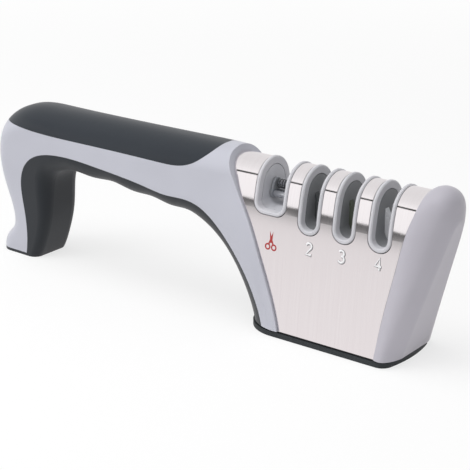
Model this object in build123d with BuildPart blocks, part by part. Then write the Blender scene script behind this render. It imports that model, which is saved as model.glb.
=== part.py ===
"""Pull-through knife sharpener with four slots and an arched handle.

Millimetres, +Z up, the table at z = 0. The origin is on the table under the
middle of the sharpening head. +X runs from the handle to the end cap and the
slots run front to back along Y.
"""

import os
from math import acos, atan2, cos, hypot, pi, radians, sin

from build123d import *

os.makedirs("parts", exist_ok=True)

# Overall sizes
overall_length = 222.5
head_height = 64.85
head_reach = 49.2
head_half_width = 16.35
cap_bulge = 3.05
handle_rise = 2.35
overrun = 5.0
fit_gap = 0.15
running_gap = 0.05
seam_gap = 0.25

# Sharpening head: straight leaning sides, a wide shoulder and a round crest
crest_radius = 9.6
shoulder_radius = 60.0
shoulder_angle = 16.0
lip_stand = 1.0
pad_height = 2.75
sheet = 0.6
core_wall = 1.95
sheet_gap = 0.05

# Slots, measured over their bezels; depths are below the crest of the head
slot_width = 9.7
slot_depth = 22.75
scissors_slot_width = 14.6
scissors_slot_depth = 18.75
scissors_slot_corner = 4.6
bezel_rim = 1.5
bezel_depth = 3.0
bezel_stand = 0.45
bezel_round = 0.4

# Carriers and abrasives
carrier_drop = 13.1
carrier_gap = 0.25
notch_depth = 16.65
plate_angle = 25.0
plate_width = 3.8
plate_thickness = 2.4
plate_above = 8.4
plate_below = 7.0
plate_offset = 0.15
frame_thickness = 2.0
post_radius = 3.0
post_y = 6.0

# Scissors stage
pivot_radius = 0.8
pivot_y = 0.3
pivot_depth = 9.85
rod_radius = 1.45
rod_drop = 3.4
rod_ahead = 2.0
cheek_thickness = 1.0
cheek_margin = 1.3
cheek_gap = 0.35
pin_seat = 2.0
spring_wire = 0.5
spring_mean_radius = 1.6
spring_turns = 7
spring_gap = 0.3
bridge_thickness = 0.9

# End cap
spigot_length = 2.5
spigot_drop = 5.0

# Base
floor_thickness = 1.45
floor_half_width = 12.9
pad_end_radius = 15.4
pad_plan_radius = 56.0
pad_corner = 4.5
pad_step = 0.75
pad_step_inset = 0.6
screw_radius = 1.5
screw_head_radius = 2.8
screw_head_height = 1.4
screw_length = 9.0
screw_recess = 0.5
screw_y = 7.0

# Handle
sole_thickness = 1.7
core_half_width = 8.8
core_top_depth = 7.2
core_under_depth = 3.0
tongue_radius = 10.1
tongue_depth = 17.2
tongue_rear_inset = 12.8
tongue_front_inset = 13.8
tongue_slope_run = 17.0

# Places along the head, as shares of its reach to either side
middle_share = 0.7764
neck_share = 2 * middle_share - 1
rear_share = 0.0025
scissors_slot_share = -0.4451
coarse_slot_share = -0.0843
slot_pitch_share = 0.3089
scissors_carrier_left_share = -0.6362
scissors_carrier_right_share = -0.2429
hollow_top_share = -0.6809
hollow_foot_share = -0.4573
pad_left_share = -0.6728
pad_right_share = 0.7134
neck_screw_share = -0.5488
cap_screw_share = 0.6138
floor_left_share = -0.3862
floor_right_share = 0.5183
post_left_share = -0.2947
post_right_share = 0.4472

# The bow that runs from the foot up the leg, along the handle and down the neck.
# Each row is the outer point (x, z) and the inner point (x, z) as shares of the
# length and the handle height, then the half widths at the outer and the inner
# point and the corner radii there as shares of the head's half width. The inner
# points rise and fall along the handle as three shallow hollows for the fingers.
bow_shares = [
    (0.005, -0.015, 0.102, -0.010, 0.58, 0.60, 0.42, 0.22),
    (0.033, 0.170, 0.129, 0.165, 0.60, 0.62, 0.42, 0.25),
    (0.034, 0.300, 0.140, 0.300, 0.62, 0.64, 0.43, 0.28),
    (0.018, 0.460, 0.144, 0.430, 0.65, 0.67, 0.46, 0.33),
    (0.007, 0.640, 0.149, 0.535, 0.69, 0.70, 0.52, 0.38),
    (0.019, 0.835, 0.162, 0.596, 0.73, 0.73, 0.60, 0.42),
    (0.070, 0.970, 0.186, 0.624, 0.76, 0.75, 0.68, 0.46),
    (0.143, 1.001, 0.224, 0.636, 0.776, 0.76, 0.74, 0.48),
    (0.209, 1.000, 0.262, 0.623, 0.777, 0.76, 0.747, 0.48),
    (0.288, 1.000, 0.311, 0.6265, 0.777, 0.76, 0.75, 0.48),
    (0.362, 1.000, 0.360, 0.598, 0.772, 0.763, 0.745, 0.482),
    (0.428, 1.000, 0.404, 0.594, 0.763, 0.769, 0.733, 0.489),
    (0.4915, 1.000, 0.4475, 0.568, 0.733, 0.781, 0.70, 0.507),
    (0.545, 0.999, 0.487, 0.562, 0.699, 0.80, 0.667, 0.54),
    (0.590, 0.995, 0.526, 0.508, 0.66, 0.83, 0.63, 0.60),
    (0.650, 0.985, 0.567, 0.395, 0.63, 0.88, 0.60, 0.72),
    (0.720, 0.940, 0.601, 0.240, 0.64, 0.95, 0.58, 0.84),
    (0.800, 0.800, 0.625, 0.080, 0.72, 1.01, 0.56, 0.92),
    (0.870, 0.500, 0.638, -0.080, 0.90, 1.06, 0.56, 0.96),
    (0.900, 0.150, 0.652, -0.240, 1.08, 1.12, 0.56, 0.98),
]

# Lines in the side view, as shares of the length and the handle height
top_edge_shares = [
    (-0.020, 0.868), (0.070, 0.878), (0.115, 0.866), (0.200, 0.857),
    (0.330, 0.855), (0.440, 0.851), (0.480, 0.856), (0.513, 0.890),
    (0.533, 0.935), (0.548, 0.985), (0.555, 1.050),
]
under_edge_shares = [
    (0.082, 0.026), (0.086, 0.160), (0.084, 0.300), (0.080, 0.430), (0.083, 0.540),
    (0.100, 0.640), (0.130, 0.705), (0.175, 0.738), (0.230, 0.742), (0.300, 0.722),
    (0.390, 0.688), (0.450, 0.660), (0.495, 0.662), (0.528, 0.640), (0.560, 0.575),
    (0.590, 0.480), (0.620, 0.370), (0.650, 0.230), (0.668, 0.110), (0.682, -0.010),
]
left_seam_shares = [
    (0.7155, 0.0), (0.6836, 0.298), (0.6618, 0.452), (0.6409, 0.600),
    (0.6132, 0.763), (0.5945, 0.878), (0.5830, 0.955), (0.578, 1.080),
]
lip_edge_shares = [
    (0.7010, 0.0), (0.6660, 0.298), (0.6430, 0.452), (0.6160, 0.640),
    (0.5925, 0.763), (0.5740, 0.878), (0.5620, 0.945), (0.5550, 1.080),
]
right_seam_shares = [
    (0.9045, 0.0), (0.9186, 0.344), (0.9318, 0.571), (0.9455, 0.787),
    (0.9555, 0.893), (0.9590, 1.080),
]
far_right_shares = [(1.1, 0.0), (1.1, 1.08)]

# The end cap's sections from its seam to its end: the section's foot and its crest
# along the head's reach, the crest as a share of the handle height, and how far
# its sides stand off the steel as a share of the head's half width.
cap_shares = [
    (0.538, 0.762, 0.970, 0.010), (0.577, 0.822, 0.978, 0.045), (0.610, 0.872, 0.998, 0.064),
    (0.636, 0.940, 1.002, 0.050), (0.661, 1.007, 0.980, -0.012), (0.686, 1.044, 0.932, -0.130),
    (0.704, 1.058, 0.876, -0.275), (0.714, 1.056, 0.820, -0.415),
]

handle_height = head_height + handle_rise
rear_reach = overall_length - head_reach - cap_bulge
lip_crest = handle_height
core_stand = -(sheet + sheet_gap)
inner_stand = core_stand - core_wall

# The lean of the head's sides follows from its crest, its shoulder and its foot
turn = radians(shoulder_angle)
shoulder_out = head_half_width + (shoulder_radius - crest_radius) * cos(turn)
shoulder_up = head_height - crest_radius - (shoulder_radius - crest_radius) * sin(turn)
lean = acos(shoulder_radius / hypot(shoulder_out, shoulder_up)) - atan2(shoulder_up, shoulder_out)
reach = head_half_width * cos(lean)

# Places along the head
slot_bottom = head_height - slot_depth
scissors_slot_bottom = head_height - scissors_slot_depth
notch_height = head_height - notch_depth
pivot_height = head_height - pivot_depth
carrier_floor = slot_bottom - carrier_drop
scissors_slot_x = scissors_slot_share * head_reach
slot_pitch = slot_pitch_share * head_reach
slot_xs = [coarse_slot_share * head_reach + k * slot_pitch for k in range(3)]
stage_names = ["coarse", "medium", "fine"]
hollow_top_x = hollow_top_share * head_reach
hollow_foot_x = hollow_foot_share * head_reach
slot_round = slot_width * 0.49
neck_screw_x = neck_screw_share * head_reach
cap_screw_x = cap_screw_share * head_reach


def at(x_share, z_share):
    """A point of the side view; the handle stretches with the length, the head doesn't."""
    if x_share < neck_share:
        x = -head_reach - (neck_share - x_share) / (neck_share - rear_share) * (rear_reach - head_reach)
    else:
        x = (x_share - middle_share) / (1 - middle_share) * head_reach
    return (x, z_share * handle_height)


def head_outline(stand, crest, floor):
    """Closed outline of the head across X, standing off the steel by stand."""
    wide = shoulder_radius + stand
    fall = cos(turn - lean)
    centre = (reach + stand - wide - (crest - wide) * fall) / (sin(lean) - fall)
    radius = crest - centre
    wide_y, wide_z = (radius - wide) * cos(turn), centre + (radius - wide) * sin(turn)

    def on_shoulder(angle):
        return (wide_y + wide * cos(angle), wide_z + wide * sin(angle))

    foot = (reach + stand - floor * sin(lean)) / cos(lean)
    side, middle, top = on_shoulder(lean), on_shoulder((lean + turn) / 2), on_shoulder(turn)
    Line((-foot, floor), (foot, floor))
    Line((foot, floor), side)
    ThreePointArc(side, middle, top)
    ThreePointArc(top, (0, crest), (-top[0], top[1]))
    ThreePointArc((-top[0], top[1]), (-middle[0], middle[1]), (-side[0], side[1]))
    Line((-side[0], side[1]), (-foot, floor))


def off_steel(point):
    """How far a point stands off the steel's outer surface, across X."""
    y, centre = abs(point.Y), head_height - crest_radius
    wide_y = (crest_radius - shoulder_radius) * cos(turn)
    wide_z = centre + (crest_radius - shoulder_radius) * sin(turn)
    rise = atan2(point.Z - wide_z, y - wide_y)
    if rise < lean:
        return y * cos(lean) + point.Z * sin(lean) - reach
    if rise < turn:
        return hypot(y - wide_y, point.Z - wide_z) - shoulder_radius
    return hypot(y, point.Z - centre) - crest_radius


def tunnel(x_from, x_to, stand, crest, floor, mode=Mode.ADD):
    """The head's outline as a straight block from one X to another."""
    with BuildSketch(Plane.YZ.offset(x_from)) as section:
        with BuildLine():
            head_outline(stand, crest, floor)
        make_face()
    extrude(section.sketch, amount=x_to - x_from, mode=mode)


def side_block(points, half_depth, mode=Mode.ADD):
    """A side view polygon carried equally to the front and to the back."""
    with BuildSketch(Plane.XZ) as outline:
        with BuildLine():
            Polyline(*points, close=True)
        make_face()
    extrude(outline.sketch, amount=half_depth, both=True, mode=mode)


def below_floor(length, floor):
    """Takes away what lies below a level, over a length centred on the head."""
    with Locations((0, 0, floor - handle_height / 2)):
        Box(length, 4 * head_half_width, handle_height, mode=Mode.SUBTRACT)


def pad_plan(inset, level):
    """The base's plan: a round end at the neck, a shallow arc at the cap."""
    half = head_half_width - inset
    left, right = pad_left_share * head_reach + inset, pad_right_share * head_reach - inset
    shoulder = right - half * half / (2 * pad_plan_radius)
    with BuildSketch(Plane.XY.offset(level)) as plan:
        with BuildLine():
            Polyline((shoulder, half), (left, half), (left, -half), (shoulder, -half))
            ThreePointArc((shoulder, -half), (right, 0), (shoulder, half))
        make_face()
        fillet(plan.vertices().group_by(Axis.X)[0], pad_end_radius - inset)
        fillet(plan.vertices().group_by(Axis.X)[-1], pad_corner)
    return plan.sketch


def slot_block(centre, width, bottom, corner, half_depth, mode=Mode.ADD):
    """A slot's space: straight sides, round bottom corners, open at the top."""
    top = handle_height + overrun
    with BuildSketch(Plane.XZ) as outline:
        with BuildLine():
            Polyline(
                (centre - width / 2, bottom), (centre + width / 2, bottom),
                (centre + width / 2, top), (centre - width / 2, top), close=True,
            )
        make_face()
        fillet(outline.vertices().group_by(Axis.Y)[0], corner)
    extrude(outline.sketch, amount=half_depth, both=True, mode=mode)


def bow_line(row, outer_depth=0.0, inner_depth=0.0):
    """A row's outer and inner point in the side view, each moved into the bow."""
    outer = Vector(*at(row[0], row[1]))
    inner = Vector(*at(row[2], row[3]))
    along = (outer - inner).normalized()
    return outer - along * outer_depth, inner + along * inner_depth


def bow_section(row):
    """One rounded section of the bow, on the plane through its two points."""
    outer, inner = bow_line(row)
    outer_half, inner_half, outer_round, inner_round = [share * head_half_width for share in row[4:]]
    span = (outer - inner).length
    along = Vector(outer.X - inner.X, 0, outer.Y - inner.Y).normalized()
    place = Plane(origin=(inner.X, 0, inner.Y), x_dir=along, z_dir=(along.Z, 0, -along.X))
    with BuildSketch(place) as section:
        with BuildLine():
            Polyline((0, -inner_half), (span, -outer_half), (span, outer_half), (0, inner_half), close=True)
        make_face()
        fillet(section.vertices().group_by(Axis.X)[0], inner_round)
        fillet(section.vertices().group_by(Axis.X)[-1], outer_round)
    return section.sketch


def between(left_shares, left_shift, right_shares, right_shift, floor, half_depth, mode=Mode.ADD):
    """The space between two upright curves of the side view, each moved along X."""
    left = [Vector(*at(*share)) + Vector(left_shift, 0) for share in left_shares]
    right = [Vector(*at(*share)) + Vector(right_shift, 0) for share in right_shares]
    with BuildSketch(Plane.XZ) as outline:
        with BuildLine():
            Spline(*left)
            Line(left[-1], right[-1])
            Spline(*right)
            Line(right[0], left[0])
        make_face()
        with Locations(((left[0].X + right[0].X) / 2, floor - handle_height / 2)):
            Rectangle(overall_length, handle_height, mode=Mode.SUBTRACT)
    extrude(outline.sketch, amount=half_depth, both=True, mode=mode)


def cap_section(row):
    """A section of the end cap on a plane that leans out from its foot to its crest."""
    foot_x, crest_x = row[0] * head_reach, row[1] * head_reach
    crest, stand = row[2] * handle_height, row[3] * head_half_width
    tilt = atan2(crest_x - foot_x, crest)
    place = Plane(origin=(foot_x, 0, 0), x_dir=(0, 1, 0), z_dir=(cos(tilt), 0, -sin(tilt)))
    with BuildSketch(place) as section:
        with BuildLine():
            head_outline(stand, crest / cos(tilt), -overrun)
        make_face()
    return section.sketch


depth = head_half_width + overrun

# The bow as one smooth body
with BuildPart() as bow:
    loft(sections=[bow_section(row) for row in bow_shares])

# The rail inside the handle that carries both soft grips
with BuildPart() as rail:
    rows = bow_shares[1:]
    side_block(
        [tuple(bow_line(row, core_top_depth, core_under_depth)[0])[:2] for row in rows]
        + [tuple(bow_line(row, core_top_depth, core_under_depth)[1])[:2] for row in reversed(rows)],
        core_half_width,
    )
    tongue_rear_x, tongue_foot_z = tongue_rear_inset - rear_reach, handle_height - tongue_depth
    with BuildSketch(Plane.YZ.offset(tongue_rear_x)) as crown:
        with BuildLine():
            crown_z = handle_height - core_top_depth / 3 - tongue_radius
            Line((-tongue_radius, tongue_foot_z), (tongue_radius, tongue_foot_z))
            Line((tongue_radius, tongue_foot_z), (tongue_radius, crown_z))
            ThreePointArc(
                (tongue_radius, crown_z), (0, crown_z + tongue_radius), (-tongue_radius, crown_z)
            )
            Line((-tongue_radius, crown_z), (-tongue_radius, tongue_foot_z))
        make_face()
    extrude(crown.sketch, amount=-head_reach - tongue_front_inset - tongue_rear_x)
    slope_top_x = tongue_rear_x + tongue_slope_run
    side_block(
        [(tongue_rear_x - overrun, tongue_foot_z), (tongue_rear_x, tongue_foot_z),
         (slope_top_x, crown_z + tongue_radius), (slope_top_x, handle_height),
         (tongue_rear_x - overrun, handle_height)],
        depth, mode=Mode.SUBTRACT,
    )

# What each grip takes from the bow, round the rail
with BuildPart() as top_region:
    edge = [Vector(*at(*share)) for share in top_edge_shares]
    with BuildSketch(Plane.XZ) as above:
        with BuildLine():
            Spline(*edge)
            Polyline(
                edge[-1], (edge[-1].X, edge[-1].Y + overrun),
                (edge[0].X - overrun, edge[-1].Y + overrun), (edge[0].X - overrun, edge[0].Y), edge[0],
            )
        make_face()
    extrude(above.sketch, amount=depth, both=True)
    add(rail.part, mode=Mode.SUBTRACT)

with BuildPart() as under_region:
    edge = [Vector(*at(*share)) for share in under_edge_shares]
    with BuildSketch(Plane.XZ) as below:
        with BuildLine():
            Spline(*edge)
            Polyline(edge[-1], (edge[-1].X, -overrun), (edge[0].X, -overrun), edge[0])
        make_face()
        with Locations((-rear_reach, sole_thickness / 2 - overrun)):
            Rectangle(handle_height, sole_thickness + 2 * overrun - sole_thickness / 2)
    extrude(below.sketch, amount=depth, both=True)
    add(rail.part, mode=Mode.SUBTRACT)

# Soft grips
with BuildPart() as top_grip:
    add(bow.part)
    add(top_region.part, mode=Mode.INTERSECT)
    between(lip_edge_shares, 0, far_right_shares, 0, 0, depth, mode=Mode.SUBTRACT)
top_grip.part.label = "top_grip"
export_step(top_grip.part, "parts/top_grip.step")

with BuildPart() as under_grip:
    add(bow.part)
    add(under_region.part, mode=Mode.INTERSECT)
    between(left_seam_shares, 0, far_right_shares, 0, -handle_height, depth, mode=Mode.SUBTRACT)
    below_floor(rear_reach * 2, 0)
    below_floor(rear_reach, pad_height)
under_grip.part.label = "under_grip"
export_step(under_grip.part, "parts/under_grip.step")

# The hollow of the head
with BuildPart() as hollow:
    tunnel(hollow_top_x - overrun, head_reach, inner_stand, head_height + inner_stand, -overrun)
    side_block(
        [(hollow_foot_x, -overrun), (hollow_foot_x, 0), (hollow_top_x, head_height),
         (head_reach, head_height), (head_reach, -overrun)],
        depth, mode=Mode.INTERSECT,
    )

# Room for the bezels, and the space inside them
with BuildPart() as slot_room:
    slot_block(
        scissors_slot_x, scissors_slot_width + 2 * seam_gap, scissors_slot_bottom - seam_gap,
        scissors_slot_corner, depth,
    )
    for slot_x in slot_xs:
        slot_block(
            slot_x, slot_width + 2 * seam_gap, slot_bottom - seam_gap, slot_round, depth
        )

# Grey body: the rest of the bow and the raised lip
with BuildPart() as body_shell:
    add(bow.part)
    add(top_region.part, mode=Mode.SUBTRACT)
    add(under_region.part, mode=Mode.SUBTRACT)
    between(left_seam_shares, 0, far_right_shares, 0, -handle_height, depth, mode=Mode.SUBTRACT)
    with BuildPart(mode=Mode.PRIVATE) as lip:
        tunnel(-rear_reach / 3, 0, lip_stand, lip_crest, pad_height)
        between(lip_edge_shares, 0, left_seam_shares, 0, pad_height, depth, mode=Mode.INTERSECT)
    add(lip.part)
    add(hollow.part, mode=Mode.SUBTRACT)
    below_floor(rear_reach, pad_height)
    with Locations((neck_screw_x, -screw_y, 0), (neck_screw_x, screw_y, 0)):
        Cylinder(screw_radius + running_gap, 2 * (screw_length + screw_recess + fit_gap), mode=Mode.SUBTRACT)
body_shell.part.label = "body_shell"
export_step(body_shell.part, "parts/body_shell.step")

# The head's inner wall, which backs the steel
with BuildPart() as head_core:
    tunnel(-head_reach, head_reach, core_stand, head_height + core_stand, pad_height)
    between(left_seam_shares, 0, right_seam_shares, -fit_gap, pad_height, depth, mode=Mode.INTERSECT)
    add(hollow.part, mode=Mode.SUBTRACT)
    add(slot_room.part, mode=Mode.SUBTRACT)
head_core.part.label = "head_core"
export_step(head_core.part, "parts/head_core.step")

# Brushed steel cover
with BuildPart() as steel_cover:
    tunnel(-head_reach, head_reach, 0, head_height, pad_height)
    tunnel(-head_reach, head_reach, -sheet, head_height - sheet, -overrun, mode=Mode.SUBTRACT)
    between(
        left_seam_shares, seam_gap, right_seam_shares, -seam_gap, pad_height, depth, mode=Mode.INTERSECT
    )
    add(slot_room.part, mode=Mode.SUBTRACT)
steel_cover.part.label = "steel_cover"
export_step(steel_cover.part, "parts/steel_cover.step")

# End cap: a smooth dome that swells out from its seam
with BuildPart() as end_cap:
    loft(sections=[cap_section(row) for row in cap_shares])
    between(right_seam_shares, 0, far_right_shares, 0, pad_height, depth, mode=Mode.INTERSECT)
    with BuildPart(mode=Mode.PRIVATE) as spigot:
        tunnel(0, head_reach, inner_stand - fit_gap, head_height + inner_stand - fit_gap, pad_height)
        between(
            right_seam_shares, -spigot_length, right_seam_shares, overrun, pad_height, depth,
            mode=Mode.INTERSECT,
        )
        with Locations((0, 0, carrier_floor - spigot_drop + handle_height / 2)):
            Box(2 * overall_length, 2 * depth, handle_height, mode=Mode.SUBTRACT)
    add(spigot.part)
    with Locations((cap_screw_x, -screw_y, 0), (cap_screw_x, screw_y, 0)):
        Cylinder(screw_radius + running_gap, 2 * (screw_length + screw_recess + fit_gap), mode=Mode.SUBTRACT)
end_cap.part.label = "end_cap"
export_step(end_cap.part, "parts/end_cap.step")

# Base: a plate set in a little, a soft pad below it and four screws
screw_places = [(x, y) for x in (neck_screw_x, cap_screw_x) for y in (-screw_y, screw_y)]
with BuildPart() as base_plate:
    extrude(pad_plan(pad_step_inset, pad_height - pad_step), amount=pad_step)
    floor_left_x, floor_right_x = floor_left_share * head_reach, floor_right_share * head_reach
    with Locations(((floor_left_x + floor_right_x) / 2, 0, pad_height + floor_thickness / 2)):
        Box(floor_right_x - floor_left_x, 2 * floor_half_width, floor_thickness)
    with Locations(*[(x, y, pad_height) for x, y in screw_places]):
        Cylinder(screw_radius + fit_gap, 2 * pad_height, mode=Mode.SUBTRACT)
base_plate.part.label = "base_plate"
export_step(base_plate.part, "parts/base_plate.step")

with BuildPart() as base_pad:
    extrude(pad_plan(0, 0), amount=pad_height - pad_step)
    with Locations(*[(x, y, 0) for x, y in screw_places]):
        Cylinder(screw_radius + fit_gap, 2 * pad_height, mode=Mode.SUBTRACT)
        Cylinder(screw_head_radius + fit_gap, 2 * (screw_head_height + screw_recess), mode=Mode.SUBTRACT)
base_pad.part.label = "base_pad"
export_step(base_pad.part, "parts/base_pad.step")

with BuildPart() as base_screws:
    up = (Align.CENTER, Align.CENTER, Align.MIN)
    with Locations(*[(x, y, screw_recess) for x, y in screw_places]):
        Cylinder(screw_head_radius, screw_head_height, align=up)
        Cylinder(screw_radius, screw_length, align=up)
        Box(screw_head_radius * 1.3, sheet, sheet, align=up, mode=Mode.SUBTRACT)
        Box(sheet, screw_head_radius * 1.3, sheet, align=up, mode=Mode.SUBTRACT)
base_screws.part.label = "base_screws"
export_step(base_screws.part, "parts/base_screws.step")


def bezel(centre, width, bottom, corner):
    """The rim round a slot, bent over the crest of the head."""
    tunnel(centre - width, centre + width, bezel_stand, head_height + bezel_stand, carrier_floor)
    foot = bezel_stand - bezel_depth
    tunnel(centre - width, centre + width, foot, head_height + foot, 0, mode=Mode.SUBTRACT)
    slot_block(centre, width, bottom, corner, depth, mode=Mode.INTERSECT)
    slot_block(
        centre, width - 2 * bezel_rim, bottom + bezel_rim, corner - bezel_rim, depth, mode=Mode.SUBTRACT
    )


def rolled(part):
    """The edges of a bezel that lie on its outer surface."""
    outside = []
    for edge in part.edges():
        ends = [edge @ 0, edge @ 0.5, edge @ 1]
        if min(off_steel(point) for point in ends) > bezel_stand - running_gap:
            outside.append(edge)
    return outside


def carrier(left, right, centre, width, bottom, corner):
    """A block that fills the head beside and below a slot."""
    foot = bezel_stand - bezel_depth - carrier_gap
    tunnel(left, right, foot, head_height + foot, carrier_floor)
    slot_block(
        centre, width - 2 * bezel_rim, bottom + bezel_rim, corner - bezel_rim, depth, mode=Mode.SUBTRACT
    )
    side_block(
        [(hollow_foot_x - head_reach, 0), (hollow_foot_x + carrier_gap, 0),
         (hollow_top_x + carrier_gap, head_height), (hollow_foot_x - head_reach, head_height)],
        depth, mode=Mode.SUBTRACT,
    )
    between(right_seam_shares, -carrier_gap, far_right_shares, 0, 0, depth, mode=Mode.SUBTRACT)


def abrasive(centre, side, room=0.0, mode=Mode.ADD):
    """A slanted bar whose long edge runs through the notch; side -1 is the front one."""
    lean_x, lean_z = side * sin(radians(plate_angle)), cos(radians(plate_angle))
    body_x, body_z = side * cos(radians(plate_angle)), -sin(radians(plate_angle))

    def corner(along, across):
        return (centre + along * lean_x + across * body_x, notch_height + along * lean_z + across * body_z)

    face = plate_offset - room if side < 0 else -plate_offset - plate_thickness - room
    with BuildSketch(Plane.XZ.offset(face)) as bar:
        with BuildLine():
            Polyline(
                corner(-plate_below - room, -room), corner(plate_above + room, -room),
                corner(plate_above + room, plate_width + room),
                corner(-plate_below - room, plate_width + room), close=True,
            )
        make_face()
    extrude(bar.sketch, amount=plate_thickness + 2 * room, mode=mode)


for name, centre in zip(stage_names, slot_xs):
    with BuildPart() as rim:
        bezel(centre, slot_width, slot_bottom, slot_round)
        chamfer(rolled(rim), bezel_round)
    rim.part.label = name + "_bezel"
    export_step(rim.part, "parts/" + name + "_bezel.step")
    with BuildPart() as block:
        carrier(
            centre - slot_pitch / 2 + running_gap, centre + slot_pitch / 2 - running_gap, centre,
            slot_width, slot_bottom, slot_round,
        )
        abrasive(centre, -1, sheet_gap, mode=Mode.SUBTRACT)
        abrasive(centre, 1, sheet_gap, mode=Mode.SUBTRACT)
    block.part.label = name + "_carrier"
    export_step(block.part, "parts/" + name + "_carrier.step")
    for side, side_name in ((-1, "_plate_front"), (1, "_plate_rear")):
        with BuildPart() as plate:
            abrasive(centre, side)
        plate.part.label = name + side_name
        export_step(plate.part, "parts/" + name + side_name + ".step")

# The scissors stage
with BuildPart() as scissors_bezel:
    bezel(scissors_slot_x, scissors_slot_width, scissors_slot_bottom, scissors_slot_corner)
    chamfer(rolled(scissors_bezel), bezel_round)
scissors_bezel.part.label = "scissors_bezel"
export_step(scissors_bezel.part, "parts/scissors_bezel.step")

inner_half = scissors_slot_width / 2 - bezel_rim
pin_place = Plane.YZ.offset(scissors_slot_x - inner_half - pin_seat)
pin_length = 2 * (inner_half + pin_seat)
with BuildPart() as scissors_carrier:
    carrier(
        scissors_carrier_left_share * head_reach, scissors_carrier_right_share * head_reach, scissors_slot_x,
        scissors_slot_width, scissors_slot_bottom, scissors_slot_corner,
    )
    with BuildSketch(pin_place) as bore:
        with Locations((pivot_y, pivot_height)):
            Circle(pivot_radius + running_gap)
    extrude(bore.sketch, amount=pin_length, mode=Mode.SUBTRACT)
scissors_carrier.part.label = "scissors_carrier"
export_step(scissors_carrier.part, "parts/scissors_carrier.step")

with BuildPart() as pivot_pin:
    with BuildSketch(pin_place.offset(fit_gap)) as section:
        with Locations((pivot_y, pivot_height)):
            Circle(pivot_radius)
    extrude(section.sketch, amount=pin_length - 2 * fit_gap)
pivot_pin.part.label = "pivot_pin"
export_step(pivot_pin.part, "parts/pivot_pin.step")

rod_place = (pivot_y - rod_ahead, pivot_height - rod_drop)
cheek_xs = (
    scissors_slot_x - inner_half + cheek_gap,
    scissors_slot_x + inner_half - cheek_gap - cheek_thickness,
)
with BuildPart() as rocker_frame:
    for cheek_x in cheek_xs:
        with BuildSketch(Plane.YZ.offset(cheek_x)) as cheek:
            with Locations((pivot_y, pivot_height)):
                Circle(pivot_radius + cheek_margin)
            with Locations(rod_place):
                Circle(rod_radius + cheek_margin / 3)
            make_hull()
            with Locations((pivot_y, pivot_height)):
                Circle(pivot_radius + running_gap, mode=Mode.SUBTRACT)
            with Locations(rod_place):
                Circle(rod_radius, mode=Mode.SUBTRACT)
        extrude(cheek.sketch, amount=cheek_thickness)
    with Locations((scissors_slot_x, rod_place[0] + rod_radius + bridge_thickness, rod_place[1])):
        Box(2 * (inner_half - cheek_gap), bridge_thickness, 2 * bridge_thickness)
rocker_frame.part.label = "rocker_frame"
export_step(rocker_frame.part, "parts/rocker_frame.step")

with BuildPart() as scissors_rod:
    with BuildSketch(Plane.YZ.offset(cheek_xs[0])) as section:
        with Locations(rod_place):
            Circle(rod_radius)
    extrude(section.sketch, amount=cheek_xs[1] + cheek_thickness - cheek_xs[0])
scissors_rod.part.label = "scissors_rod"
export_step(scissors_rod.part, "parts/scissors_rod.step")

# The return spring: curls round the pin from a formula, with straight ends
coil_start = cheek_xs[0] + cheek_thickness + spring_gap + spring_wire / 2
coil_length = cheek_xs[1] - spring_gap - spring_wire / 2 - coil_start
coil_pitch = coil_length / spring_turns


with BuildPart() as rocker_spring:
    with BuildLine() as wire:
        coil = Helix(
            pitch=coil_pitch, height=coil_length, radius=spring_mean_radius,
            center=(coil_start, pivot_y, pivot_height), direction=(1, 0, 0),
        )
        Line(coil @ 0 - coil % 0 * spring_wire, coil @ 0)
        Line(coil @ 1, coil @ 1 + coil % 1 * spring_wire)
    with BuildSketch(Plane(origin=coil @ 0 - coil % 0 * spring_wire, z_dir=coil % 0)) as section:
        RegularPolygon(spring_wire / 2, 8)
    sweep(section.sketch, path=wire.wires()[0])
rocker_spring.part.label = "rocker_spring"
export_step(rocker_spring.part, "parts/rocker_spring.step")
steps = 24 * spring_turns
wire_points = [coil @ (k / steps) for k in range(steps + 1)]
least_gap = min(
    (wire_points[k] - wire_points[m]).length for k in range(steps + 1) for m in range(k + 12, steps + 1)
) - spring_wire
print("least gap of the spring to itself", round(least_gap, 3))

# The frame that carries the blocks on four posts
with BuildPart() as stage_frame:
    foot = inner_stand - carrier_gap
    hollow_slope = (hollow_foot_x - hollow_top_x) / head_height
    frame_left_x = hollow_foot_x - (carrier_floor - frame_thickness) * hollow_slope + carrier_gap
    tunnel(frame_left_x, head_reach, foot, head_height + foot, carrier_floor - frame_thickness)
    between(right_seam_shares, -carrier_gap, far_right_shares, 0, 0, depth, mode=Mode.SUBTRACT)
    with Locations((0, 0, carrier_floor + handle_height / 2)):
        Box(2 * overall_length, 2 * depth, handle_height, mode=Mode.SUBTRACT)
    post_foot = pad_height + floor_thickness
    post_xs = (post_left_share * head_reach, post_right_share * head_reach)
    with Locations(*[(x, y, post_foot) for x in post_xs for y in (-post_y, post_y)]):
        Cylinder(post_radius, carrier_floor - frame_thickness - post_foot, align=up)
stage_frame.part.label = "stage_frame"
export_step(stage_frame.part, "parts/stage_frame.step")

print("length", round(end_cap.part.bounding_box().max.X - bow.part.bounding_box().min.X, 2))
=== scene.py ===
"""Looks of a pull-through knife sharpener: grey and charcoal handle, brushed steel head.

Metres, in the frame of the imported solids: the table is z = 0, +X runs from the
handle to the end cap, the front is -Y.
"""
from math import cos, radians, sin, tan

import bpy
from mathutils import Matrix, Vector


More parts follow.
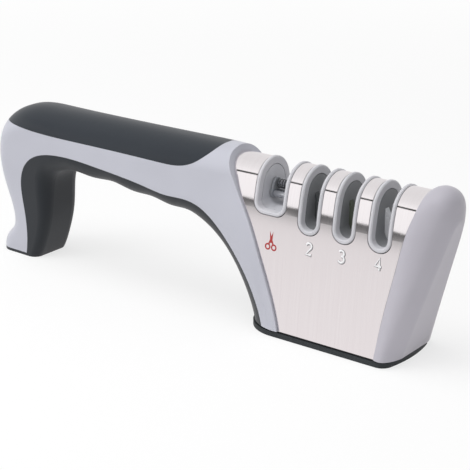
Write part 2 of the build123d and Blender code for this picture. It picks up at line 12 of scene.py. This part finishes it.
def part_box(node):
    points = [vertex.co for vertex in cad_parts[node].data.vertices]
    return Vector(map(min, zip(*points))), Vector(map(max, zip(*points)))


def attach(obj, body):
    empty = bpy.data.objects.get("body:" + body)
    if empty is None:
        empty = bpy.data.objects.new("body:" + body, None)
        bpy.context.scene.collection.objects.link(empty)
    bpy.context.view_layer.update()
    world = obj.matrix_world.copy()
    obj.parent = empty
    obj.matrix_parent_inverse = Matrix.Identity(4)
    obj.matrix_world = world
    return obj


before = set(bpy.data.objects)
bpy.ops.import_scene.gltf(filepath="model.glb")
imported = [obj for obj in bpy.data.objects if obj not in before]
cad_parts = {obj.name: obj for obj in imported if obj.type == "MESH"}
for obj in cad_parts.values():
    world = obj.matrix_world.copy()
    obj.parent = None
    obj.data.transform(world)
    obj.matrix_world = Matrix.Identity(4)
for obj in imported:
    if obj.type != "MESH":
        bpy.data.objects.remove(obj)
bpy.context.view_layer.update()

MM = 0.001
body = "sharpener"

# Camera, as the photograph was taken
camera_place = (0.28017, -0.42908, 0.22267)
camera_azimuth = 37.292
camera_elevation = 19.690
camera_lens = 112.04
camera_sensor = 36.0

# The head's leaning front, read from the steel cover
steel_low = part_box("steel_cover")[0]
face_foot_y = steel_low.y
face_foot_z = steel_low.z
face_lean = radians(6.142)

# Where the body's inner rail comes flush with the under grip, above the foot of the head
rail_middle = Vector((-38, 0, 14)) * MM
rail_reach = Vector((10, 9.3, 16)) * MM


def srgb(red, green, blue):
    """A colour on screen, from 0 to 255, as the linear colour that shaders take."""
    def channel(value):
        value = value / 255
        return value / 12.92 if value <= 0.04045 else ((value + 0.055) / 1.055) ** 2.4
    return (channel(red), channel(green), channel(blue), 1.0)


def grey(level):
    """A grey of that linear level."""
    return (level, level, level, 1.0)


black = grey(0.0)
white = grey(1.0)

# Finishes

class Flow:
    """A value on its way through a finish; sums on it become nodes."""

    def __init__(self, finish, socket):
        self.finish, self.socket = finish, socket

    def _sum(self, operation, first, second):
        return self.finish.node("ShaderNodeMath", {"operation": operation}, first, second)

    def __add__(self, other):
        return self._sum("ADD", self, other)

    def __radd__(self, other):
        return self._sum("ADD", other, self)

    def __sub__(self, other):
        return self._sum("SUBTRACT", self, other)

    def __rsub__(self, other):
        return self._sum("SUBTRACT", other, self)

    def __mul__(self, other):
        return self._sum("MULTIPLY", self, other)

    def __rmul__(self, other):
        return self._sum("MULTIPLY", other, self)


class Finish:
    """One material, or the world, built from node calls."""

    def __init__(self, name, owner=None):
        self.material = owner or bpy.data.materials.new(name)
        self.material.use_nodes = True
        self.tree = self.material.node_tree
        self.tree.nodes.clear()

    def node(self, kind, settings, *values, take=0, at=None, **named):
        """A new node: its settings, then its sockets in order, by number (at) or by name."""
        made = self.tree.nodes.new(kind)
        for key, value in settings.items():
            if key == "stops":
                while len(made.color_ramp.elements) < len(value):
                    made.color_ramp.elements.new(0.5)
                for element, (position, colour) in zip(made.color_ramp.elements, value):
                    element.position, element.color = position, colour
            else:
                setattr(made, key, value)
        by_name = {key.replace("_", " "): value for key, value in named.items()}
        for key, value in [*enumerate(values), *(at or {}).items(), *by_name.items()]:
            self.feed(made.inputs[key], value)
        return Flow(self, made.outputs[take] if len(made.outputs) else None)

    def feed(self, socket, value):
        if isinstance(value, Flow):
            self.tree.links.new(value.socket, socket)
        else:
            socket.default_value = value

    def place(self, stretch=(1, 1, 1)):
        """Where a point lies on the object at rest, in metres, stretched."""
        spot = self.node("ShaderNodeTexCoord", {}, take="Object")
        return self.node("ShaderNodeMapping", {}, spot, Scale=stretch)

    def noise(self, stretch, detail=2.0, roughness=0.5):
        """Noise with that many cells to the metre along X, Y and Z."""
        return self.node(
            "ShaderNodeTexNoise", {}, self.place(stretch),
            Scale=1.0, Detail=detail, Roughness=roughness,
        )

    def ramp(self, value, *stops):
        return self.node("ShaderNodeValToRGB", {"stops": stops}, value)

    def blend(self, factor, first, second):
        """Two colours mixed; a Mix node's colours are its sockets 6 and 7, and 2 comes out."""
        return self.node(
            "ShaderNodeMix", {"data_type": "RGBA"}, at={0: factor, 6: first, 7: second}, take=2
        )

    def bump(self, height, strength, distance):
        return self.node("ShaderNodeBump", {}, Strength=strength, Distance=distance, Height=height)

    def close(self, **sockets):
        surface = self.node("ShaderNodeBsdfPrincipled", {}, **sockets)
        self.node("ShaderNodeOutputMaterial", {}, surface)
        return self.material


def moulded(name, colour, deep, roughness, joint_tone=None):
    """Moulded plastic: fine grain, a little unevenness of tone and of gloss."""
    f = Finish(name)
    cloud = f.noise((26, 26, 26), 3.0)
    fine = f.noise((2200, 2200, 2200), 2.0)
    tone = f.blend(f.ramp(cloud, (0.3, black), (0.7, white)), deep, colour)
    if joint_tone:
        tone = f.blend(beside_grip(f), tone, joint_tone)
    return f.close(
        Base_Color=tone,
        Roughness=roughness + 0.10 * (cloud - 0.5) + 0.06 * (fine - 0.5),
        Normal=f.bump(fine, 0.35, 0.012 * MM),
        Specular_IOR_Level=0.45,
    )


def beside_grip(f):
    """One where the body's rail comes flush with the under grip, and nought elsewhere."""
    def within(axis):
        spot = f.node("ShaderNodeSeparateXYZ", {}, f.place(), take=axis)
        limits = (rail_middle[axis], rail_reach[axis])
        return f.node("ShaderNodeMath", {"operation": "COMPARE"}, spot, *limits)
    return within(0) * within(1) * within(2)


def soft_touch(name, colour, worn, roughness):
    """Soft rubber-like grip: matt, with a bloom of lighter tone and a fine grain."""
    f = Finish(name)
    cloud = f.noise((34, 34, 34), 4.0, 0.6)
    fine = f.noise((3400, 3400, 3400), 3.0, 0.65)
    tone = f.blend(0.35 * cloud + 0.25 * fine, colour, worn)
    return f.close(
        Base_Color=tone,
        Roughness=roughness + 0.12 * (fine - 0.5) + 0.08 * (cloud - 0.5),
        Normal=f.bump(fine, 0.5, 0.02 * MM),
        Specular_IOR_Level=0.36,
        Sheen_Weight=0.16,
        Sheen_Roughness=0.5,
    )


def brushed_steel(name, colour, shade):
    """Steel brushed upwards over the crest: long fine scratches, even tone."""
    f = Finish(name)
    hair = f.noise((7000, 90, 90), 3.0, 0.7)
    streak = f.noise((1500, 22, 22), 3.0, 0.6)
    tone = f.blend(0.55 * streak + 0.45 * hair, shade, colour)
    return f.close(
        Base_Color=tone,
        Metallic=1.0,
        Roughness=0.05 + 0.07 * streak,
        Normal=f.bump(0.6 * hair + 0.4 * streak, 0.5, 0.014 * MM),
    )


def ground_steel(name, colour, roughness=0.22):
    """Small bright parts, turned and ground."""
    f = Finish(name)
    rings = f.noise((5200, 500, 500), 2.0)
    return f.close(
        Base_Color=f.blend(rings, colour, tuple(0.8 * c for c in colour[:3]) + (1,)),
        Metallic=1.0,
        Roughness=roughness + 0.12 * (rings - 0.5),
        Normal=f.bump(rings, 0.3, 0.01 * MM),
    )


def grit(name, colour, sparkle, size, roughness):
    """Abrasive bar: packed grains with a few bright ones."""
    f = Finish(name)
    grain = f.noise((size, size, size), 4.0, 0.7)
    cells = f.place((size, size, size))
    bright = f.node("ShaderNodeTexVoronoi", {"feature": "F1"}, cells, Scale=1.0)
    glint = f.ramp(bright, (0.10, white), (0.22, black))
    return f.close(
        Base_Color=f.blend(0.6 * grain + 0.4 * glint, colour, sparkle),
        Roughness=roughness - 0.2 * glint,
        Normal=f.bump(grain, 0.8, 0.05 * MM),
    )


def pad_rubber(name):
    """Dark moulded rubber with a dull skin."""
    f = Finish(name)
    cloud = f.noise((60, 60, 60), 3.0)
    fine = f.noise((2600, 2600, 2600), 2.0)
    return f.close(
        Base_Color=f.blend(cloud, srgb(40, 44, 47), srgb(56, 60, 63)),
        Roughness=0.62 + 0.15 * (fine - 0.5),
        Normal=f.bump(fine, 0.5, 0.02 * MM),
        Specular_IOR_Level=0.35,
    )


def enamel(name, colour, deep):
    """Printed or filled sign: smooth, with a slight mottle."""
    f = Finish(name)
    mottle = f.noise((1800, 1800, 1800), 2.0)
    return f.close(Base_Color=f.blend(mottle, deep, colour), Roughness=0.4 + 0.1 * mottle)


# The end cap's grey is a little darker and more purple than the body's: partly its own tone,
# partly painted shade for the cap lying in more shade
cap_grey = moulded("cap_grey", srgb(193, 190, 199), srgb(184, 181, 190), 0.34)
body_grey = moulded("body_grey", srgb(198, 199, 209), srgb(190, 191, 201), 0.34, srgb(44, 48, 54))
rim_grey = moulded("rim_grey", srgb(212, 211, 216), srgb(202, 202, 207), 0.42)
block_grey = moulded("block_grey", srgb(152, 153, 156), srgb(134, 136, 139), 0.5)
scissors_grey = moulded("scissors_grey", srgb(206, 206, 211), srgb(196, 197, 202), 0.42)
inner_grey = moulded("inner_grey", srgb(150, 153, 158), srgb(138, 141, 147), 0.5)
# The head core shows only through the gaps round the rims and along the steel seams; its dark grey
# is painted shade that deepens those gap lines
core_painted_shade = moulded("core_painted_shade", srgb(58, 59, 62), srgb(46, 47, 50), 0.6)
grip_charcoal = soft_touch("grip_charcoal", srgb(26, 32, 40), srgb(43, 50, 58), 0.44)
under_charcoal = soft_touch("under_charcoal", srgb(19, 25, 32), srgb(34, 41, 48), 0.5)
cover_steel = brushed_steel("cover_steel", srgb(252, 248, 249), srgb(238, 231, 233))
base_black = pad_rubber("base_black")
plate_black = moulded("plate_black", srgb(24, 25, 27), srgb(16, 17, 19), 0.6)
screw_zinc = ground_steel("screw_zinc", srgb(190, 190, 194), 0.35)
coarse_stone = grit("coarse_stone", srgb(52, 55, 57), srgb(120, 124, 126), 9000, 0.6)
medium_stone = grit("medium_stone", srgb(66, 72, 62), srgb(140, 148, 128), 12000, 0.55)
fine_stone = grit("fine_stone", srgb(226, 227, 231), srgb(248, 249, 252), 16000, 0.45)
rod_steel = ground_steel("rod_steel", srgb(208, 210, 214))
wire_steel = ground_steel("wire_steel", srgb(96, 98, 102), 0.35)
sign_red = enamel("sign_red", srgb(186, 62, 60), srgb(166, 50, 49))
# The numerals' pale white is partly their own silver, partly painted highlight on the raised
# strokes
numeral_pale = enamel("numeral_pale", srgb(252, 252, 253), srgb(240, 240, 242))
# Grey strokes set under each numeral, offset right and down: painted shadow of the raised numerals
numeral_painted_shadow = enamel("numeral_painted_shadow", srgb(132, 130, 133), srgb(112, 110, 113))

finish_of = {
    "body_shell": body_grey, "end_cap": cap_grey, "top_grip": grip_charcoal,
    "under_grip": under_charcoal, "head_core": core_painted_shade, "steel_cover": cover_steel,
    "base_plate": plate_black, "base_pad": base_black, "base_screws": screw_zinc,
    "scissors_bezel": rim_grey, "coarse_bezel": rim_grey, "medium_bezel": rim_grey,
    "fine_bezel": rim_grey, "scissors_carrier": scissors_grey, "coarse_carrier": block_grey,
    "medium_carrier": block_grey, "fine_carrier": block_grey,
    "coarse_plate_front": coarse_stone, "coarse_plate_rear": coarse_stone,
    "medium_plate_front": medium_stone, "medium_plate_rear": medium_stone,
    "fine_plate_front": fine_stone, "fine_plate_rear": fine_stone,
    "stage_frame": inner_grey, "pivot_pin": rod_steel, "rocker_spring": wire_steel,
    "rocker_frame": inner_grey, "scissors_rod": rod_steel,
}
for name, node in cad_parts.items():
    node.data.materials.clear()
    node.data.materials.append(finish_of[name])


# Signs on the steel

def on_face(x, z):
    """A point on the steel's front at height z, with the axes of that face."""
    y = face_foot_y + (z - face_foot_z) * tan(face_lean)
    right = Vector((1, 0, 0))
    up = Vector((0, sin(face_lean), cos(face_lean)))
    out = Vector((0, -cos(face_lean), sin(face_lean)))
    return Vector((x, y, z)), right, up, out


def seat(obj, x, z):
    """Moves flat work drawn in x and y onto the steel's front."""
    spot, right, up, out = on_face(x, z)
    turn = Matrix((right, up, out)).transposed().to_4x4()
    obj.data.transform(Matrix.Translation(spot) @ turn)


def stroke_piece(name, strokes, width, height, material, x, z):
    """Raised strokes: lists of points round the sign's middle, all in millimetres."""
    curve = bpy.data.curves.new(name, "CURVE")
    curve.dimensions = "3D"
    curve.bevel_depth = width / 2 * MM
    curve.bevel_resolution = 4
    for points, closed in strokes:
        line = curve.splines.new("POLY")
        line.points.add(len(points) - 1)
        for point, (px, py) in zip(line.points, points):
            point.co = (px * MM, py * MM, 0, 1)
        line.use_cyclic_u = closed
    draft = bpy.data.objects.new(name + "_draft", curve)
    bpy.context.scene.collection.objects.link(draft)
    shaped = draft.evaluated_get(bpy.context.evaluated_depsgraph_get())
    mesh = bpy.data.meshes.new_from_object(shaped)
    bpy.data.objects.remove(draft)
    piece = bpy.data.objects.new(name, mesh)
    bpy.context.scene.collection.objects.link(piece)
    mesh.transform(Matrix.Diagonal((1, 1, height / width, 1)))
    mesh.materials.clear()
    mesh.materials.append(material)
    for face in mesh.polygons:
        face.use_smooth = True
    seat(piece, x * MM, z * MM)
    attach(piece, body)
    return piece


def arc(cx, cy, radius, start, end, count=16):
    """Points on an arc, angles in degrees."""
    return [
        (cx + radius * cos(radians(start + (end - start) * k / count)),
         cy + radius * sin(radians(start + (end - start) * k / count)))
        for k in range(count + 1)
    ]


two = [(arc(0, 1.05, 1.15, 165, -35) + [(-1.15, -2.2), (1.25, -2.2)], False)]
three = [(arc(0, 1.1, 1.1, 150, -75) + arc(0, -1.05, 1.25, 80, -150), False)]
four = [([(0.55, -2.25), (0.55, 2.25), (-1.35, -0.85), (1.35, -0.85)], False)]
numerals = {"two": (two, -3.2, 37.1), "three": (three, 11.0, 37.4), "four": (four, 26.6, 38.0)}
numeral_width = 0.8
numeral_height = 0.36
# The grey under-strokes, wider than the numerals and offset right and down, are painted shadow
# beside the raised strokes
shadow_width = 1.15
shadow_height = 0.16
shadow_shift_x = 0.12
shadow_shift_z = -0.1
for label, (strokes, x, z) in numerals.items():
    stroke_piece(
        "numeral_edge_" + label, strokes, shadow_width, shadow_height, numeral_painted_shadow,
        x + shadow_shift_x, z + shadow_shift_z,
    )
    stroke_piece(
        "numeral_" + label, strokes, numeral_width, numeral_height, numeral_pale,
        x, z,
    )

# Scissors sign: two crossing blades that point up and two finger loops
blades = [
    ([(-0.95, -1.25), (0.68, 3.4), (0.2, 0.65), (-0.4, -0.6)], False),
    ([(0.95, -1.25), (-0.68, 3.4), (-0.2, 0.65), (0.4, -0.6)], False),
]
loop_side = 1.4
loop_drop = 2.3
loop_radius = 1.0
loops = [
    (arc(side * loop_side, -loop_drop, loop_radius, 0, 360, 24)[:-1], True) for side in (-1, 1)
]
blade_width = 0.75
loop_width = 0.62
sign_height = 0.16
sign_x, sign_z = -20.2, 36.5
stroke_piece(
    "scissors_blades", blades, blade_width, sign_height, sign_red, sign_x, sign_z
)
stroke_piece(
    "scissors_loops", loops, loop_width, sign_height, sign_red, sign_x, sign_z
)


# Studio

floor_reach = 3.0
strip_span = 1.2

# What bright parts mirror of the floor, from strip_span in front (0) to the origin (1):
# pale far out, a dark strip, and a faintly warm pale stretch near the object
floor_strip = (
    (0.0, white), (0.27, white), (0.40, grey(0.10)), (0.583, grey(0.11)),
    (0.667, grey(0.17)), (0.733, grey(0.29)), (0.772, grey(0.42)),
    (0.797, (0.80, 0.785, 0.785, 1.0)), (1.0, (0.86, 0.84, 0.84, 1.0)),
)

# What they mirror of the front wall, from straight down (0) to straight up (1):
# white, a thin dark line about 28 degrees above level, then a pale ceiling
wall_bands = (
    (0.0, grey(0.95)), (0.714, white), (0.721, grey(0.02)), (0.753, grey(0.02)),
    (0.766, white), (0.90, grey(0.84)), (1.0, grey(0.78)),
)
back_wall = grey(0.80)

# What the camera sees of the floor: the lit floor with the object's shadow, under this
# share of plain white near the object, which rises to all of it between these metres
white_near = 0.72
white_from, white_to = 0.2, 0.8

glow_strength = 0.42
lamp_target = (-0.05, 0, 0.03)


def studio_floor():
    """A plain pale floor that keeps the object's shadow and fades to white far out."""
    corners = [
        (x * floor_reach, y * floor_reach, 0) for x, y in ((-1, -1), (1, -1), (1, 1), (-1, 1))
    ]
    mesh = bpy.data.meshes.new("floor")
    mesh.from_pydata(corners, [], [(0, 1, 2, 3)])
    floor = bpy.data.objects.new("floor", mesh)
    bpy.context.scene.collection.objects.link(floor)
    f = Finish("floor_white")
    seen = f.node("ShaderNodeLightPath", {}, take="Is Camera Ray")
    mirrored = f.node("ShaderNodeLightPath", {}, take="Is Glossy Ray")
    ahead = f.node("ShaderNodeSeparateXYZ", {}, f.place(), take="Y")
    distance = f.node("ShaderNodeVectorMath", {"operation": "LENGTH"}, f.place(), take="Value")
    far = f.ramp(distance, (white_from, black), (white_to, white))
    plain = f.node("ShaderNodeBsdfDiffuse", {}, Color=grey(0.97))
    lift = f.node("ShaderNodeEmission", {}, Color=white, Strength=1.0)
    strip = f.ramp(1.0 + ahead * (1 / strip_span), *floor_strip)
    mirror = f.node("ShaderNodeEmission", {}, Color=strip, Strength=1.0)
    whiteness = seen * (white_near + (1 - white_near) * far)
    lit = f.node("ShaderNodeMixShader", {}, whiteness, plain, lift)
    shown = f.node("ShaderNodeMixShader", {}, mirrored, lit, mirror)
    f.node("ShaderNodeOutputMaterial", {}, shown)
    mesh.materials.append(f.material)


def studio_world():
    """White behind the object, an even glow for light, bands for bright parts to mirror."""
    world = bpy.data.worlds.new("studio")
    bpy.context.scene.world = world
    f = Finish("studio", world)
    seen = f.node("ShaderNodeLightPath", {}, take="Is Camera Ray")
    mirrored = f.node("ShaderNodeLightPath", {}, take="Is Glossy Ray")
    heading = f.node("ShaderNodeTexCoord", {}, take="Generated")
    depth = f.node("ShaderNodeSeparateXYZ", {}, heading, take="Y")
    rise = f.node("ShaderNodeSeparateXYZ", {}, heading, take="Z")
    behind = f.ramp(0.5 + 0.5 * depth, (0.45, black), (0.55, white))
    bands = f.blend(behind, f.ramp(0.5 + 0.5 * rise, *wall_bands), back_wall)
    glow = f.node("ShaderNodeBackground", {}, Color=white, Strength=glow_strength)
    mirror = f.node("ShaderNodeBackground", {}, Color=bands, Strength=1.0)
    backdrop = f.node("ShaderNodeBackground", {}, Color=white, Strength=1.0)
    lit = f.node("ShaderNodeMixShader", {}, mirrored, glow, mirror)
    shown = f.node("ShaderNodeMixShader", {}, seen, lit, backdrop)
    f.node("ShaderNodeOutputWorld", {}, shown)


def lamp(name, place, size, power):
    """A soft round lamp turned to the object, not seen itself by bright parts."""
    light = bpy.data.lights.new(name, "AREA")
    light.shape = "DISK"
    light.size = size
    light.energy = power
    obj = bpy.data.objects.new(name, light)
    bpy.context.scene.collection.objects.link(obj)
    obj.location = place
    obj.rotation_euler = (Vector(lamp_target) - Vector(place)).to_track_quat("-Z", "Y").to_euler()
    obj.visible_glossy = False


studio_floor()
studio_world()
lamp("overhead", (-0.15, -0.2, 0.9), size=0.8, power=5.0)
lamp("front_left", (-0.7, -0.7, 0.5), size=0.6, power=2.6)

camera = bpy.data.cameras.new("photo_camera")
camera.lens = camera_lens
camera.sensor_width = camera_sensor
camera.clip_start = 0.01
camera.clip_end = 20
camera_object = bpy.data.objects.new("photo_camera", camera)
bpy.context.scene.collection.objects.link(camera_object)
camera_object.location = camera_place
camera_object.rotation_euler = (radians(90 - camera_elevation), 0, radians(camera_azimuth))
bpy.context.scene.camera = camera_object
bpy.context.scene.view_settings.view_transform = "Standard"
